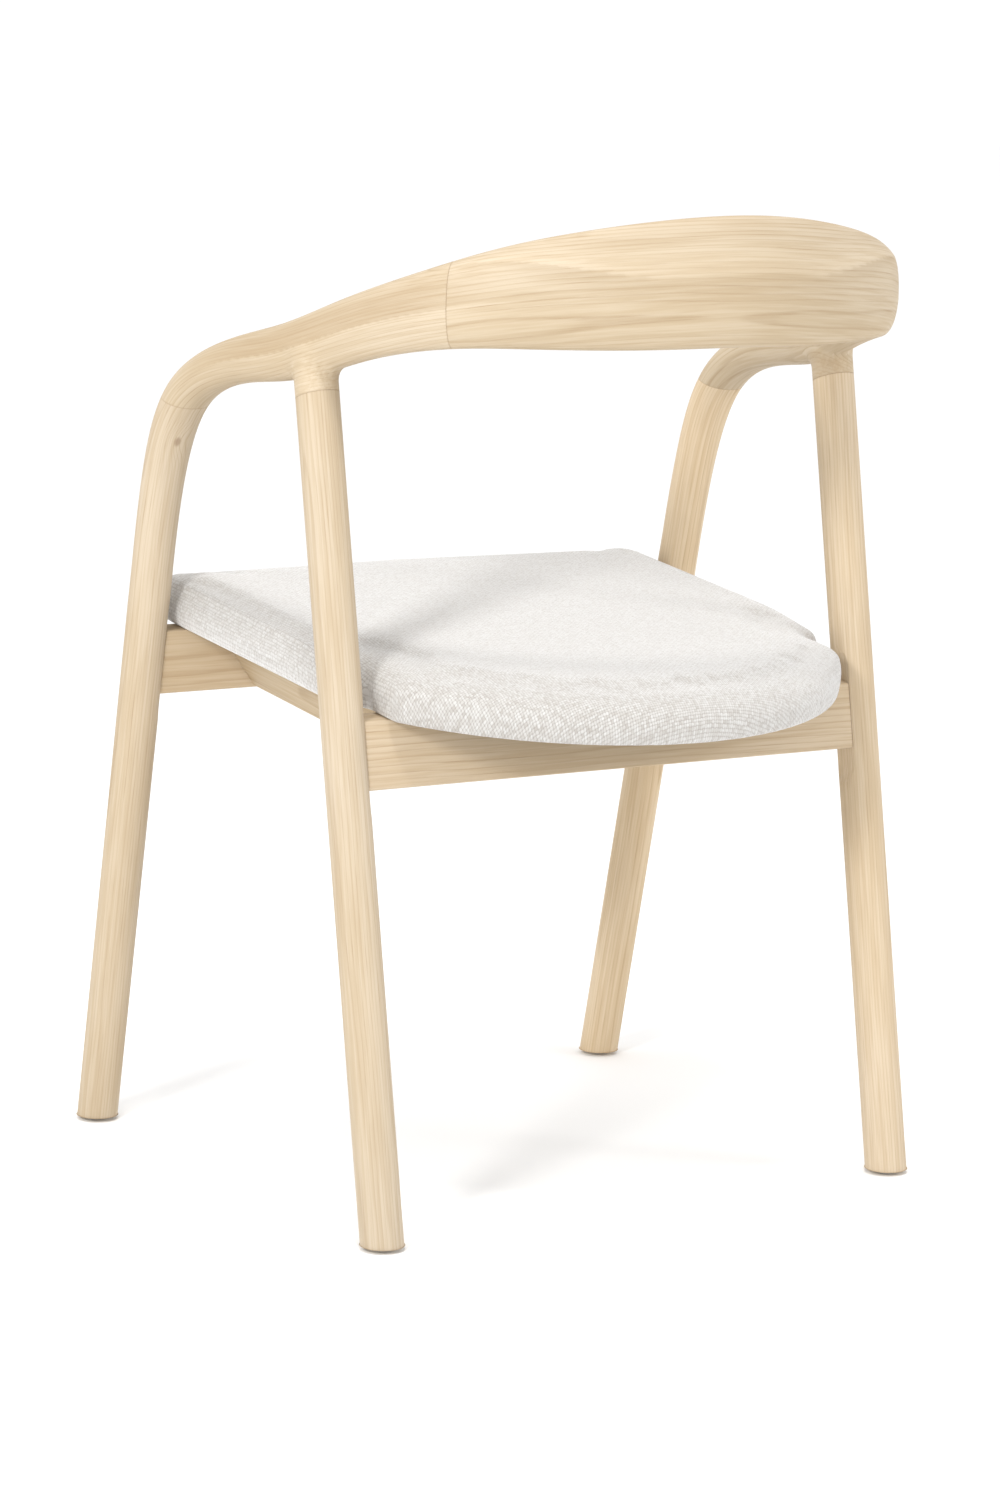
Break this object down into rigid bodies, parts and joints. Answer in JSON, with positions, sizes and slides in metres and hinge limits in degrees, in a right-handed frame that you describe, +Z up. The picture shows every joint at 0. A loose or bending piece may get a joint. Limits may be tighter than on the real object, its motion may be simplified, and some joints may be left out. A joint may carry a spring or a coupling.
{
  "type": "wooden armchair",
  "caption": "Armchair with a curved wooden back that runs down through the arms into the front legs, round splayed legs and an upholstered seat pad.",
  "frame": {"origin": "on the floor, under the middle of the chair's outline", "axes": "+Z up; the sitter faces -Y; +X to the sitter's left; the chair is symmetrical about X = 0"},
  "size_m": [0.544, 0.5607, 0.7705],
  "materials": {
    "ash": "matt oil, straight pale grain",
    "block_wood": "unfinished, planed",
    "dowel_wood": "unfinished, turned",
    "plywood": "unfinished",
    "foam": "open-cell seat foam",
    "cover_fabric": "ribbed weave, matt",
    "lining": "non-woven lining cloth",
    "zinc_steel": "zinc plated",
    "dark_steel": "black zinc",
    "glide_plastic": "satin"
  },
  "bodies": {
    "root": {"back_rail": "ash", "arm_left": "ash", "arm_right": "ash", "front_leg_left": "ash", "front_leg_right": "ash", "rear_leg_left": "ash", "rear_leg_right": "ash", "front_rail": "ash", "rear_rail": "ash", "side_rail_left": "ash", "side_rail_right": "ash", "corner_block_front_left": "block_wood", "corner_block_front_right": "block_wood", "corner_block_rear_left": "block_wood", "corner_block_rear_right": "block_wood", "back_joint_dowels": "dowel_wood", "rear_leg_dowels": "dowel_wood", "front_leg_dowels": "dowel_wood", "front_rail_dowels": "dowel_wood", "rear_rail_dowels": "dowel_wood", "side_rail_dowels": "dowel_wood", "corner_block_screws": "zinc_steel", "seat_board": "plywood", "seat_foam": "foam", "seat_cover": "cover_fabric", "dust_cover": "lining", "cover_staples": "zinc_steel", "seat_bolts": "dark_steel", "seat_tee_nuts": "zinc_steel", "glide_front_left": "glide_plastic", "glide_front_right": "glide_plastic", "glide_rear_left": "glide_plastic", "glide_rear_right": "glide_plastic", "glide_nails": "zinc_steel"}
  },
  "joints": []
}
